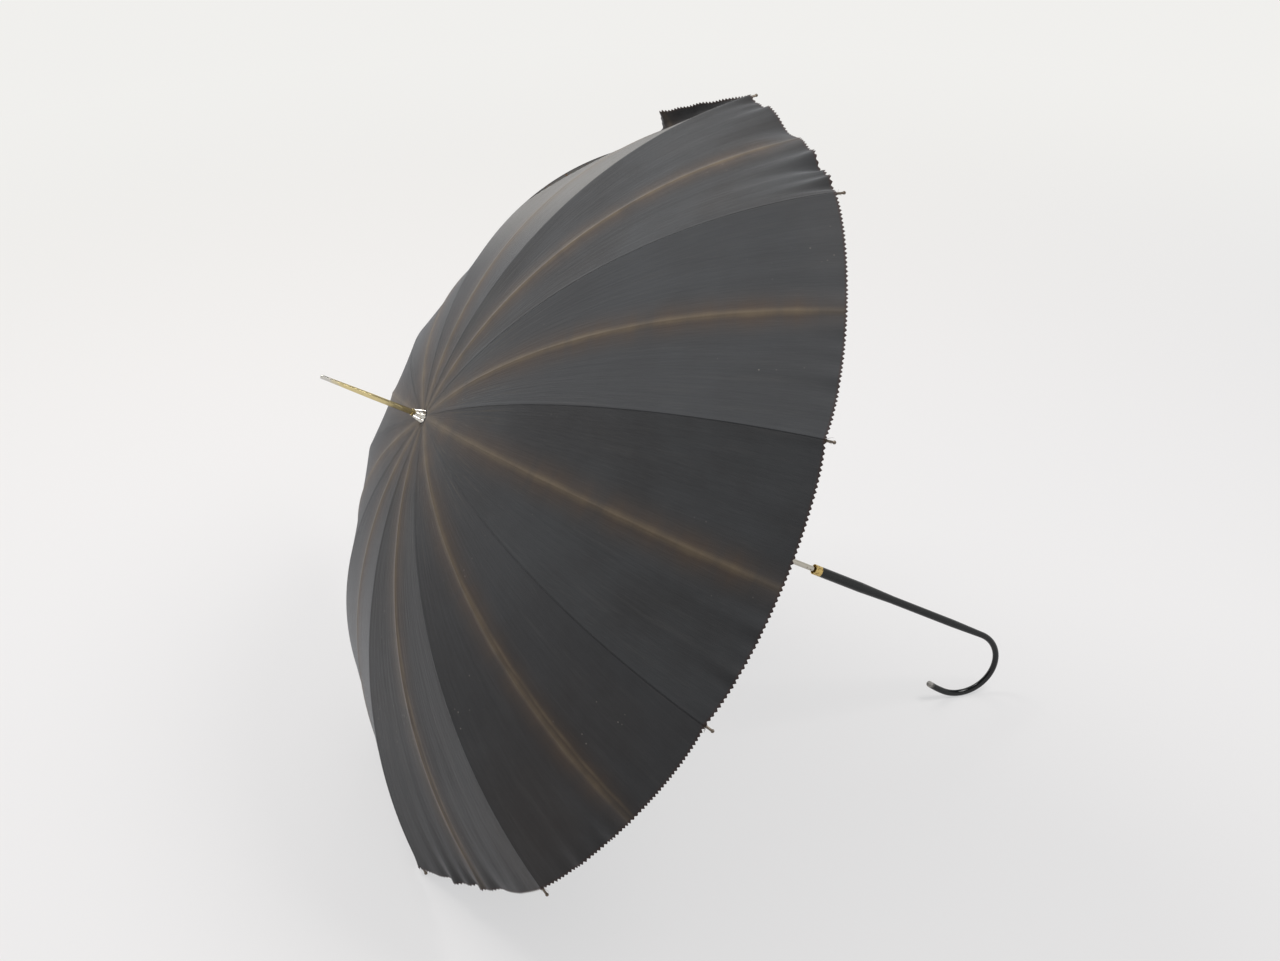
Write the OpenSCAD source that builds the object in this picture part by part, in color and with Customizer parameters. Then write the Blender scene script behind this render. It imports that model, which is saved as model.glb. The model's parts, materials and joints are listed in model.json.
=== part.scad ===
// Open stick umbrella with ten curved ribs, lying on two rib tips and its crook.
// Each piece is drawn in the umbrella's own frame, with the shaft along Z and the
// ferrule up, and lay_down() then lays the whole umbrella on the floor.

/* [Canopy] */
// Radius of the open rim at the rib tips
rim_r = 406; // [395:1:415]
// Depth of the canopy from its crown to the rib tips
canopy_depth = 183; // [178:1:188]
// Angle by which the ribs rise from the crown before they fall, in degrees
crown_rise = 2.7; // [0:0.1:4]
// Thickness of the cloth
cloth_t = 0.5; // [0.4:0.1:0.7]
// Length of the seam that is torn off at the end of rib 7
tear_length = 150; // [120:5:180]

/* [Ribs and stretchers] */
// Outside width of the channel that a rib is folded from
rib_w = 2.4; // [2.2:0.1:2.6]
// Height of that channel
rib_h = 2.4; // [2.2:0.1:2.6]
// Sheet thickness of the channels
sheet_t = 0.5; // [0.4:0.05:0.55]
// Distance along a rib from the notch to its stretcher joint
joint_run = 192; // [180:1:200]
// Length of the tip beyond the hem
tip_run = 9; // [8:0.5:11]
// Radius of the ball that ends each tip
tip_ball_r = 1.6; // [1.4:0.1:1.8]
// Radius on which the ribs and stretchers pivot round the shaft
pivot_r = 8; // [7.8:0.1:8.4]
// Turn of the ribs from open to closed, in degrees
fold_angle = 65; // [60:1:66]

/* [Shaft] */
// Outside radius of the shaft tube
shaft_r = 2.75; // [2.6:0.05:2.8]
// Length of the ferrule beyond the canopy's crown
ferrule_run = 106; // [95:1:115]
// Distance from the crown to the collar
collar_at = 452; // [450:1:458]
// Length of the collar
collar_len = 8; // [6:0.5:9]

/* [Handle] */
// Radius of the handle at the collar
grip_r = 5.35; // [5.2:0.05:5.6]
// Radius of the handle's thinner stretch
stem_r = 4.15; // [3.9:0.05:4.3]
// Radius of the crook's rod
crook_rod_r = 3.3; // [3.1:0.1:3.6]
// Distance from the crown to the start of the crook
crook_at = 676; // [660:1:690]
// Radius of the crook's centre line
crook_bend_r = 38; // [35:0.5:41]

/* [Hidden] */
$fn = 48;
rib_count = 10;
pitch = 360 / rib_count;
// Ribs 1 and 10 lie on the floor, half a pitch to each side of the lowest line.
first_azimuth = pitch / 2;

// The canopy's profile is one arc from the crown to the rib tips. Its turns are
// measured from the line through its centre that is parallel to the shaft.
chord_slope = atan(canopy_depth / rim_r);
arc_r = norm([rim_r, canopy_depth]) / (2 * sin(chord_slope + crown_rise));
arc_x = arc_r * sin(crown_rise);
arc_z = -arc_r * cos(crown_rise);
end_turn = 2 * chord_slope + crown_rise;
cloth_gap = 0.65;
rib_r = arc_r - cloth_gap - rib_h / 2;
degrees_per_mm = 180 / (PI * rib_r);

pivot_turn = asin((pivot_r - arc_x) / rib_r);
pivot_z = arc_z + rib_r * cos(pivot_turn);
joint_turn = pivot_turn + joint_run * degrees_per_mm;
joint_r = arc_x + rib_r * sin(joint_turn);
joint_z = arc_z + rib_r * cos(joint_turn);
hem_turn = end_turn - tip_run * degrees_per_mm;
tip_r = arc_x + rib_r * sin(end_turn);
tip_z = arc_z + rib_r * cos(end_turn);
// Turn at which the cloth meets the shaft.
shaft_hole_turn = asin(((shaft_r + 0.5) / cos(pitch / 2) - arc_x) / arc_r);

// A stretcher is as long as the straight line from the notch pivot to the rib
// joint, so its foot stays at pivot_r from the shaft while the frame folds.
link = norm([joint_r - pivot_r, joint_z - pivot_z]);
link_slope = atan((pivot_z - joint_z) / (joint_r - pivot_r));
runner_z = pivot_z - 2 * link * sin(link_slope);
runner_travel = 2 * link * (sin(link_slope + fold_angle) - sin(link_slope));

pin_r = 0.6;
pin_gap = 0.06;
eye_r = 1.3;
blade_w = 1;
blade_run = 7;
slot_w = 1.3;
slot_floor_r = 5.4;
crown_r = 10;
crown_top = -0.4;
crown_foot = pivot_z - 4;
fork_wall = 0.6;
fork_gap = 0.15;
fork_run = 14;
channel_from = 12;
rivet_r = 0.7;
rivet_head_r = 1.2;
rivet_head_t = 0.5;

runner_bore_r = shaft_r + 0.06;
sleeve_r = 4.2;
sleeve_len = 58;
flange_r = 6.3;
flange_t = 2;

tube_wall = 0.55;
tube_top = 12;
tube_foot = -(collar_at + 60);
catch_t = 0.9;
catch_len = 12;
catch_nose_r = 3.6;
catch_hinge_r = 0.9;
catch_root_r = 1.1;
catch_slot_w = 1.2;
groove_r = 3.85;
groove_w = 1.5;
catch_azimuth = 300;
top_catch_z = runner_z - sleeve_len - 0.6;
hand_catch_z = top_catch_z - runner_travel;

cup_foot_r = 6.6;
cup_neck_r = 3.4;
cup_z = 0.9;
cup_h = 11;
petals = 8;

ferrule_root_r = 2.6;
ferrule_end_r = 1.95;
ferrule_end_len = 8;
ferrule_from = cup_z + cup_h - 2;

crook_end_bend_r = 110;
crook_end_turn = 11;
grip_run = 52;
grip_taper = 42;
stem_taper = 40;
handle_top = -(collar_at + collar_len);

// Lying pose: the line that touches both low tip balls and the crook is level.
low_tip_x = tip_r * cos(first_azimuth);
crook_outer_r = crook_bend_r + crook_rod_r;
contact_dx = low_tip_x - crook_bend_r;
contact_dz = tip_z + crook_at;
lean = atan2(contact_dx, contact_dz)
       - asin((crook_outer_r - tip_ball_r) / norm([contact_dx, contact_dz]));
lift = low_tip_x * cos(lean) - tip_z * sin(lean) + tip_ball_r;
// World extent along the shaft's plan direction, used to centre the base.
ferrule_reach = -ferrule_run * cos(lean) - (ferrule_end_r - 0.5) * sin(lean);
crook_reach = crook_at * cos(lean) - crook_bend_r * sin(lean) + crook_outer_r;
centre_x = (ferrule_reach + crook_reach) / 2;

// Lays the upright umbrella on the floor, ferrule towards -X.
module lay_down() {
    translate([-centre_x, 0, lift])
        rotate([0, lean - 90, 0])
            rotate([0, 0, 180])
                children();
}

// Turns a piece drawn in the XZ plane to rib number k.
module at_rib(k) {
    rotate([0, 0, first_azimuth + (k - 1) * pitch])
        children();
}

// Bends a flat section (x = distance from the arc's centre) along the rib arc.
module along_arc(from_turn, to_turn) {
    translate([arc_x, 0, arc_z])
        rotate([90, 0, 0])
            rotate([0, 0, 90 - to_turn])
                rotate_extrude(angle = to_turn - from_turn, $fn = 240)
                    children();
}

// Channel section, open towards smaller x.
module channel_section(mid_x, w, h) {
    difference() {
        translate([mid_x - h / 2, -w / 2])
            square([h, w]);
        translate([mid_x - h / 2 - 1, -w / 2 + sheet_t])
            square([h + 1 - sheet_t, w - 2 * sheet_t]);
    }
}

// Round bar across the rib plane, centred on it.
module cross_bar(r, length) {
    rotate([90, 0, 0])
        cylinder(r = r, h = length, center = true);
}

module rib(k) {
    color("dimgray")
        difference() {
            union() {
                along_arc(pivot_turn, pivot_turn + 2 * blade_run * degrees_per_mm)
                    translate([rib_r - rib_h / 2, -blade_w / 2])
                        square([rib_h, blade_w]);
                along_arc(pivot_turn + blade_run * degrees_per_mm, hem_turn)
                    channel_section(rib_r, rib_w, rib_h);
                translate([pivot_r, 0, pivot_z])
                    cross_bar(eye_r, blade_w);
            }
            translate([pivot_r, 0, pivot_z])
                cross_bar(pin_r + pin_gap, 4);
            translate([joint_r, 0, joint_z])
                cross_bar(rivet_r + 0.02, rib_w + 2);
        }
}

module tip(k) {
    shank_r = 0.6;
    neck_r = 1.1;
    color("sienna")
        translate([tip_r, 0, tip_z])
            rotate([0, end_turn, 0])
                union() {
                    sphere(r = tip_ball_r);
                    rotate([0, -90, 0])
                        cylinder(r = neck_r, h = tip_run - 0.1);
                    translate([0, 0, -0.2])
                        rotate([0, -90, 0])
                            cylinder(r = shank_r, h = tip_run + 6);
                }
}

module rivet(k) {
    grip = rib_w + 2 * (fork_gap + fork_wall + 0.05);
    color("silver")
        translate([joint_r, 0, joint_z])
            union() {
                cross_bar(rivet_r, grip + 0.2);
                for (side = [-1, 1])
                    translate([0, side * (grip + rivet_head_t) / 2, 0])
                        cross_bar(rivet_head_r, rivet_head_t);
            }
}

// Drawn from the rib joint along +X, then turned towards the runner.
module stretcher(k) {
    inner = rib_w + 2 * fork_gap;
    outer = inner + 2 * fork_wall;
    color("gray")
        translate([joint_r, 0, joint_z])
            rotate([0, 180 - link_slope, 0])
                difference() {
                    union() {
                        cross_bar(rib_h / 2 + 0.2, outer);
                        translate([0, -outer / 2, -rib_h / 2])
                            cube([fork_run, outer, rib_h]);
                        translate([channel_from, 0, 0])
                            rotate([90, 0, 90])
                                linear_extrude(link - channel_from - 2 * blade_run)
                                    rotate([0, 0, 90])
                                        channel_section(0, rib_w, rib_h);
                        translate([link - 4 * blade_run, -blade_w / 2, -rib_h / 2])
                            cube([4 * blade_run, blade_w, rib_h]);
                        translate([link, 0, 0])
                            cross_bar(eye_r, blade_w);
                    }
                    translate([-3, -inner / 2, -3])
                        cube([3 + channel_from, inner, 6]);
                    cross_bar(rivet_r + 0.05, outer + 2);
                    translate([link, 0, 0])
                        cross_bar(pin_r, blade_w + 2);
                }
}

// A gore is a cylindrical strip, flat across, cut to a wedge between its two ribs.
module gore_strip(from_turn, to_turn) {
    flat = cos(pitch / 2);
    steps = 20;
    inner = [for (i = [0:steps])
        let (a = from_turn + (to_turn - from_turn) * i / steps)
        [(arc_x + arc_r * sin(a)) * flat, arc_z + arc_r * cos(a)]];
    outer = [for (i = [steps:-1:0])
        let (a = from_turn + (to_turn - from_turn) * i / steps)
        [(arc_x + (arc_r + cloth_t) * sin(a)) * flat, arc_z + (arc_r + cloth_t) * cos(a)]];
    half_w = rim_r * sin(pitch / 2) + 2;
    rotate([0, 0, pitch / 2])
        rotate([90, 0, 0])
            linear_extrude(2 * half_w, center = true)
                polygon(concat(inner, outer));
}

module gore(k) {
    seam_gap = 0.15;
    edge = 2 * rim_r;
    color("darkslategray")
        intersection() {
            gore_strip(shaft_hole_turn, hem_turn);
            translate([seam_gap, seam_gap * (1 + cos(pitch)) / sin(pitch), -arc_r])
                linear_extrude(2 * arc_r)
                    polygon([[0, 0], [edge, 0], [edge * cos(pitch), edge * sin(pitch)]]);
        }
}

// The gore between ribs 6 and 7 has come off rib 7 near the rim, and its corner is
// tucked under. Seen along the shaft, the gap is a wedge from free_r on rib 7 to the
// crease at the hem, loose_w from the corner.
module torn_gore() {
    free_r = arc_x + arc_r * sin(hem_turn - tear_length * degrees_per_mm);
    loose_w = 117;
    past_hem = 1.3;
    crease = [rim_r - loose_w * sin(pitch / 2), -loose_w * cos(pitch / 2)];
    wedge_end = [free_r, 0] + past_hem * (crease - [free_r, 0]);
    difference() {
        gore(6);
        rotate([0, 0, pitch])
            translate([0, 0, -arc_r])
                linear_extrude(2 * arc_r)
                    polygon([[free_r, 0], [free_r, 1], [2 * rim_r, 1], wedge_end]);
    }
}

module gore_at(k) {
    if (k == 6) torn_gore();
    else gore(k);
}

module shaft_tube() {
    color("silver")
        difference() {
            translate([0, 0, tube_foot])
                cylinder(r = shaft_r, h = tube_top - tube_foot);
            translate([0, 0, tube_foot - 1])
                cylinder(r = shaft_r - tube_wall, h = tube_top - tube_foot - 3);
            for (z = [top_catch_z, hand_catch_z])
                rotate([0, 0, catch_azimuth])
                    translate([0.5, -catch_slot_w / 2, z - catch_len - 0.8])
                        cube([4, catch_slot_w, catch_len + 1.6]);
        }
}

// Leaf of a catch: its nose points at the runner, its round root is lower down.
module catch_leaf(z) {
    color("silver")
        rotate([0, 0, catch_azimuth])
            translate([0, catch_t / 2, z])
                rotate([90, 0, 0])
                    union() {
                        linear_extrude(catch_t)
                            polygon([[0.2, 0], [catch_nose_r, 0], [catch_nose_r, -1],
                                     [shaft_r - 0.3, -catch_len + 2],
                                     [catch_hinge_r + 0.9, 1 - catch_len],
                                     [0.2, 1 - catch_len]]);
                        translate([catch_hinge_r, 1 - catch_len])
                            cylinder(r = catch_root_r, h = catch_t);
                    }
}

module top_catch() { catch_leaf(top_catch_z); }

module hand_catch() { catch_leaf(hand_catch_z); }

module ferrule() {
    color("darkgoldenrod")
        difference() {
            union() {
                translate([0, 0, ferrule_from])
                    cylinder(r = ferrule_root_r + 0.6, h = 3);
                translate([0, 0, ferrule_from])
                    cylinder(r = ferrule_root_r, h = 45);
                translate([0, 0, ferrule_from + 45])
                    cylinder(r1 = ferrule_root_r, r2 = ferrule_end_r,
                             h = ferrule_run - ferrule_end_len - 45 - ferrule_from);
                translate([0, 0, ferrule_run - ferrule_end_len])
                    cylinder(r = ferrule_end_r, h = ferrule_end_len - 0.6);
                translate([0, 0, ferrule_run - 0.6])
                    cylinder(r1 = ferrule_end_r, r2 = ferrule_end_r - 0.5, h = 0.6);
            }
            translate([0, 0, ferrule_from - 1])
                cylinder(r = shaft_r + 0.02, h = tube_top - ferrule_from + 1.02);
        }
}

module notch_cup() {
    color("gainsboro")
        difference() {
            translate([0, 0, cup_z])
                cylinder(r1 = cup_foot_r, r2 = cup_neck_r, h = cup_h);
            translate([0, 0, cup_z - 1])
                cylinder(r = shaft_r + 0.02, h = cup_h - 1);
            translate([0, 0, ferrule_from - 0.02])
                cylinder(r = ferrule_root_r + 0.62, h = 5);
            for (i = [0:petals - 1])
                rotate([0, 0, i * 360 / petals])
                    translate([cup_foot_r + 0.9, 0, cup_z - 1])
                        rotate([0, atan((cup_neck_r - cup_foot_r) / cup_h), 0])
                            cylinder(r = 1.7, h = cup_h + 4);
        }
}

// Slotted crown shared by the notch and the runner: foot and top are heights.
module slotted_crown(foot, top, bore, wire_z) {
    difference() {
        translate([0, 0, foot])
            cylinder(r = crown_r, h = top - foot);
        translate([0, 0, foot - 1])
            cylinder(r = bore, h = top - foot + 2);
        for (k = [1:rib_count])
            at_rib(k)
                translate([slot_floor_r, -slot_w / 2, foot - 1])
                    cube([crown_r, slot_w, top - foot + 2]);
        rotate_extrude()
            translate([pivot_r - pin_r - 0.05, wire_z - pin_r - 0.05])
                square([crown_r, 2 * pin_r + 0.1]);
    }
}

module notch() {
    color("silver")
        slotted_crown(crown_foot, crown_top, shaft_r + 0.02, pivot_z);
}

module notch_wire() {
    color("darkkhaki")
        translate([0, 0, pivot_z])
            rotate_extrude()
                translate([pivot_r, 0])
                    circle(r = pin_r);
}

module runner() {
    foot = runner_z - sleeve_len;
    color("silver")
        difference() {
            union() {
                slotted_crown(runner_z - 2.5, runner_z + 2.5, runner_bore_r, runner_z);
                difference() {
                    translate([0, 0, foot])
                        cylinder(r = sleeve_r, h = sleeve_len + 2.5);
                    translate([0, 0, foot - 1])
                        cylinder(r = runner_bore_r, h = sleeve_len + 5);
                }
                difference() {
                    translate([0, 0, foot])
                        cylinder(r = flange_r, h = flange_t);
                    translate([0, 0, foot - 1])
                        cylinder(r = runner_bore_r, h = flange_t + 2);
                }
            }
            rotate([0, 0, catch_azimuth])
                translate([0, -groove_w / 2, foot - 1])
                    cube([groove_r, groove_w, sleeve_len + 5]);
        }
}

module collar() {
    lip = 1.6;
    color("goldenrod")
        difference() {
            translate([0, 0, handle_top])
                cylinder(r = grip_r, h = collar_len);
            translate([0, 0, handle_top - 1])
                cylinder(r = shaft_r + 0.02, h = collar_len + 2);
            translate([0, 0, handle_top + collar_len - lip])
                cylinder(r = grip_r - 0.7, h = lip + 1);
        }
}

module handle() {
    color("black")
        difference() {
            union() {
                translate([0, 0, handle_top - grip_run])
                    cylinder(r = grip_r, h = grip_run);
                translate([0, 0, handle_top - grip_run - grip_taper])
                    cylinder(r1 = stem_r, r2 = grip_r, h = grip_taper);
                translate([0, 0, -crook_at + stem_taper])
                    cylinder(r = stem_r, h = crook_at - stem_taper + handle_top
                                             - grip_run - grip_taper);
                translate([0, 0, -crook_at])
                    cylinder(r1 = crook_rod_r, r2 = stem_r, h = stem_taper);
                crook();
            }
            translate([0, 0, tube_foot - 0.02])
                cylinder(r = shaft_r + 0.02, h = -tube_foot);
        }
}

// Half circle, then a slacker bend up to the rounded end.
module crook() {
    bend_start_x = 2 * crook_bend_r;
    translate([crook_bend_r, 0, -crook_at])
        rotate([90, 0, 0])
            rotate([0, 0, 180])
                rotate_extrude(angle = 180)
                    translate([crook_bend_r, 0])
                        circle(r = crook_rod_r);
    translate([bend_start_x - crook_end_bend_r, 0, -crook_at])
        rotate([90, 0, 0])
            rotate_extrude(angle = crook_end_turn)
                translate([crook_end_bend_r, 0])
                    circle(r = crook_rod_r);
    translate([bend_start_x - crook_end_bend_r * (1 - cos(crook_end_turn)), 0,
               -crook_at + crook_end_bend_r * sin(crook_end_turn)])
        sphere(r = crook_rod_r);
}

lay_down() shaft_tube();
lay_down() ferrule();
lay_down() notch_cup();
lay_down() notch();
lay_down() notch_wire();
lay_down() runner();
lay_down() top_catch();
lay_down() hand_catch();
lay_down() collar();
lay_down() handle();
for (k = [1:rib_count]) {
    lay_down() at_rib(k) rib(k);
    lay_down() at_rib(k) tip(k);
    lay_down() at_rib(k) rivet(k);
    lay_down() at_rib(k) stretcher(k);
    lay_down() at_rib(k) gore_at(k);
}
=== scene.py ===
import json
import math
import bpy
import numpy as np
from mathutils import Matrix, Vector


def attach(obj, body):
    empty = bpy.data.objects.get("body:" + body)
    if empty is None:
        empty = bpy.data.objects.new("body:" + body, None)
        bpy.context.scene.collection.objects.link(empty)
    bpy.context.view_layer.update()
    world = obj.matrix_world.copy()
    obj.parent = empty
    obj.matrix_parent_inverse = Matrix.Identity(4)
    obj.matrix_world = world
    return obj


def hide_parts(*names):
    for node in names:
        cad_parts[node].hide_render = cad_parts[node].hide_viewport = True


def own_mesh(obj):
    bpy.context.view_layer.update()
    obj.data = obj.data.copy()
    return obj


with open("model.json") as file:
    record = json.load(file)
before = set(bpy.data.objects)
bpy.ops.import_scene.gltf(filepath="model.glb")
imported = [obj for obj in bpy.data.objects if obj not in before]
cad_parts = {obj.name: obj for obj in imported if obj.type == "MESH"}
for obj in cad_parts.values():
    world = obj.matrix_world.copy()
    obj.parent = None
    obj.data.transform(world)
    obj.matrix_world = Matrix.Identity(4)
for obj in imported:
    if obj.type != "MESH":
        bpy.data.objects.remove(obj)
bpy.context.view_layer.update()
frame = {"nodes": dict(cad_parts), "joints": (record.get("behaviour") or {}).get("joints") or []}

nodes = frame["nodes"]
joints = {joint["name"]: joint for joint in frame["joints"]}
randomDraw = np.random.default_rng(41)
print("frame loaded:", len(nodes), "nodes")


cameraLook = {
    "place": (-0.5007, -1.7419, 1.3873),
    "azimuth": -16.08,
    "elevation": 26.61,
    "lens": 60.7,
    "sensorWidth": 36,
    "shift": (-0.039, -0.117),
}


def makeCamera(look):
    # back vector = (sin a cos e, -cos a cos e, sin e), and the camera looks along its opposite
    turn, tilt = math.radians(look["azimuth"]), math.radians(look["elevation"])
    back = Vector((math.sin(turn) * math.cos(tilt), -math.cos(turn) * math.cos(tilt), math.sin(tilt)))
    data = bpy.data.cameras.new("mainCamera")
    data.sensor_width = look["sensorWidth"]
    data.lens = look["lens"]
    data.shift_x, data.shift_y = look["shift"]
    data.dof.use_dof = False
    camera = bpy.data.objects.new("mainCamera", data)
    camera.location = look["place"]
    camera.rotation_mode = "QUATERNION"
    camera.rotation_quaternion = (-back).to_track_quat("-Z", "Y")
    bpy.context.scene.collection.objects.link(camera)
    bpy.context.scene.camera = camera


makeCamera(cameraLook)
print("camera set")


# where the ribs stand comes from the joints; lengths are in metres
canopy = {
    "ribCount": 10,
    "rimRadius": 0.406,
    "depth": 0.183,
    "rise": 2.7,            # degrees by which the ribs rise from the crown
    "pivotRadius": 0.008,
    "ribDrop": 0.00185,     # from the cloth's arc down to the middle of a rib
    "tipRun": 0.009,        # from the hem to the ball of a tip
    "clothLift": -0.00030,  # of the cloth's inner face over the arc
    "clothThick": 0.00034,
    "holeRadius": 0.0034,
    "columns": 232,         # cells across one gore
    "rows": 62,
    "toothPitch": 0.0045,   # of the pinked hem
    "toothDepth": 0.0024,
    "floorGap": 0.0002,     # nothing dips lower than this
}

# the arc that every rib follows: its radius, and its centre seen from the crown
halfPitch = math.pi / canopy["ribCount"]
chordSlope = math.atan2(canopy["depth"], canopy["rimRadius"])
riseTurn = math.radians(canopy["rise"])
arcRadius = math.hypot(canopy["rimRadius"], canopy["depth"]) / (2 * math.sin(chordSlope + riseTurn))
arcOut, arcDown = arcRadius * math.sin(riseTurn), -arcRadius * math.cos(riseTurn)
ribArc = arcRadius - canopy["ribDrop"]

# turns along the arc: at the end of a rib, at the hem and at the hole round the shaft
endTurn = 2 * chordSlope + riseTurn
hemTurn = endTurn - canopy["tipRun"] / ribArc
holeTurn = math.asin((canopy["holeRadius"] / math.cos(halfPitch) - arcOut) / arcRadius)
rimHalf = (arcOut + arcRadius * math.sin(hemTurn)) * math.sin(halfPitch)

# the crown lies on the shaft, where the ribs' arcs would meet it
pivots = np.array([joints[f"rib_{k}_fold"]["pos_m"] for k in range(1, canopy["ribCount"] + 1)])
shaftUp = -np.array(joints["runner_slide"]["axis"])
pivotDrop = -arcDown - math.sqrt(ribArc ** 2 - (canopy["pivotRadius"] - arcOut) ** 2)
crown = pivots.mean(axis=0) + shaftUp * pivotDrop


def ribAxes(k):
    # outward and sideways directions of rib k; the sideways one is its fold axis
    side = np.array(joints[f"rib_{(k - 1) % canopy['ribCount'] + 1}_fold"]["axis"])
    return np.cross(side, shaftUp), side


def placed(outward, sideways, across, aside, height):
    # crown + outward * across + sideways * aside + shaft * height, for whole arrays
    return (crown + np.multiply.outer(across, outward) + np.multiply.outer(aside, sideways)
            + np.multiply.outer(height, shaftUp))


def meshObject(name, points, quads, body, material):
    # one smooth mesh from an array of points and an array of four-cornered faces
    mesh = bpy.data.meshes.new(name)
    mesh.vertices.add(len(points))
    points = np.array(points, np.float32)
    points[:, 2] = np.maximum(points[:, 2], canopy["floorGap"])
    mesh.vertices.foreach_set("co", points.ravel())
    mesh.loops.add(quads.size)
    mesh.loops.foreach_set("vertex_index", np.asarray(quads, np.int32).ravel())
    mesh.polygons.add(len(quads))
    mesh.polygons.foreach_set("loop_start", np.arange(0, quads.size, 4, dtype=np.int32))
    mesh.update(calc_edges=True)
    mesh.polygons.foreach_set("use_smooth", np.full(len(quads), True))
    mesh.materials.append(material)
    piece = bpy.data.objects.new(name, mesh)
    bpy.context.scene.collection.objects.link(piece)
    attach(piece, body)
    return piece


def gridQuads(rows, columns, start=0, closedRows=False, closedColumns=False):
    # corners of every cell of a rows x columns grid, numbered row by row
    down = np.arange(rows if closedRows else rows - 1)[:, None]
    along = np.arange(columns if closedColumns else columns - 1)[None, :]
    nextDown, nextAlong = (down + 1) % rows, (along + 1) % columns
    cells = np.stack([down * columns + along, nextDown * columns + along,
                      nextDown * columns + nextAlong, down * columns + nextAlong], axis=-1)
    return cells.reshape(-1, 4) + start


def shellFrom(outer, inner):
    # outer and inner grids (rows, columns, 3) joined round their rim into one closed sheet
    rows, columns = outer.shape[:2]
    count = rows * columns
    numbers = np.arange(count).reshape(rows, columns)
    rim = np.concatenate([numbers[0, :-1], numbers[:-1, -1], numbers[-1, :0:-1], numbers[:0:-1, 0]])
    nextRim = np.roll(rim, -1)
    points = np.concatenate([outer.reshape(-1, 3), inner.reshape(-1, 3)])
    faces = np.concatenate([
        gridQuads(rows, columns),
        gridQuads(rows, columns, count)[:, ::-1],
        np.stack([rim, nextRim, nextRim + count, rim + count], axis=-1),
    ])
    return points, faces


def sweptTube(path, radius, sides=8):
    # point = path + radius * (cos * first + sin * second), both square to the path; the ends draw in
    path = np.asarray(path, float)
    radius = np.broadcast_to(np.asarray(radius, float), (len(path),))
    ahead = np.gradient(path, axis=0)
    ahead /= np.linalg.norm(ahead, axis=1)[:, None]
    steady = np.array([0.31, 0.42, 0.853])      # a direction that no path here follows
    first = np.cross(ahead, steady)
    first /= np.linalg.norm(first, axis=1)[:, None]
    second = np.cross(ahead, first)
    angle = np.linspace(0, 2 * np.pi, sides, endpoint=False)
    circle = (np.cos(angle)[None, :, None] * first[:, None, :]
              + np.sin(angle)[None, :, None] * second[:, None, :])
    ring = path[:, None, :] + radius[:, None, None] * circle
    for end in (0, -1):
        ring[end] = path[end] + (ring[end] - path[end]) * 0.05
    return ring.reshape(-1, 3), gridQuads(len(path), sides, closedColumns=True)


def joined(parts):
    # several (points, faces) pairs as one pair
    points, faces, start = [], [], 0
    for some, cells in parts:
        points.append(some)
        faces.append(cells + start)
        start += len(some)
    return np.concatenate(points), np.concatenate(faces)


def put(tree, kind, wires=None, **settings):
    # adds one node; wires maps an input's name or number to a value or to another node's output
    node = tree.nodes.new(kind)
    for name, value in settings.items():
        setattr(node, name, value)
    for key, value in (wires or {}).items():
        if isinstance(value, bpy.types.NodeSocket):
            tree.links.new(value, node.inputs[key])
        else:
            node.inputs[key].default_value = value
    return node


def calc(tree, operation, first, second=0.0, clamp=False):
    # one step of arithmetic
    node = put(tree, "ShaderNodeMath", {0: first, 1: second}, operation=operation, use_clamp=clamp)
    return node.outputs[0]


def between(tree, value, low, high, toLow=0.0, toHigh=1.0):
    # smooth step from toLow at low to toHigh at high
    node = put(tree, "ShaderNodeMapRange", {0: value, 1: low, 2: high, 3: toLow, 4: toHigh},
               interpolation_type="SMOOTHSTEP")
    return node.outputs[0]


def times(tree, first, second):
    return calc(tree, "MULTIPLY", first, second)


def blendColor(tree, factor, first, second):
    # first colour at factor 0, second at factor 1
    return put(tree, "ShaderNodeMix", {0: factor, 6: first, 7: second}, data_type="RGBA").outputs[2]


def noiseAt(tree, place, scale, detail=3.0, rough=0.55):
    # soft noise, about 0.3 to 0.7
    return put(tree, "ShaderNodeTexNoise", {"Vector": place, "Scale": scale, "Detail": detail,
                                            "Roughness": rough}).outputs[0]


def stretched(tree, place, scale):
    # coordinates times a scale of their own in each direction
    return put(tree, "ShaderNodeVectorMath", {0: place, 1: scale}, operation="MULTIPLY").outputs[0]


def startGroup(name, inputs, outputs):
    # an empty node group; inputs are (label, kind, value) and outputs are (label, kind)
    tree = bpy.data.node_groups.new(name, "ShaderNodeTree")
    kinds = {"vector": "NodeSocketVector", "value": "NodeSocketFloat", "color": "NodeSocketColor"}
    for label, kind, value in inputs:
        socket = tree.interface.new_socket(label, in_out="INPUT", socket_type=kinds[kind])
        if value is not None:
            socket.default_value = value
    for label, kind in outputs:
        tree.interface.new_socket(label, in_out="OUTPUT", socket_type=kinds[kind])
    return tree, tree.nodes.new("NodeGroupInput").outputs, tree.nodes.new("NodeGroupOutput").inputs


def useGroup(tree, group, wires):
    # places a node group in a material
    return put(tree, "ShaderNodeGroup", wires, node_tree=group).outputs


def makeWeave():
    # plain weave: product of two sine waves, one thread wide each
    tree, given, made = startGroup("plainWeave", [("Place", "vector", None), ("Thread", "value", 0.0005)],
                                   [("Height", "value"), ("Shade", "value")])
    parts = put(tree, "ShaderNodeSeparateXYZ", {0: given["Place"]}).outputs
    turns = calc(tree, "DIVIDE", math.pi, given["Thread"])
    first = calc(tree, "SINE", times(tree, parts[0], turns))
    second = calc(tree, "SINE", times(tree, parts[1], turns))
    over = times(tree, first, second)
    tree.links.new(calc(tree, "ABSOLUTE", over), made["Height"])
    slub = noiseAt(tree, stretched(tree, given["Place"], (2600.0, 60.0, 1.0)), 1.0, 2.0)
    tree.links.new(between(tree, slub, 0.3, 0.75), made["Shade"])
    return tree


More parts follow.
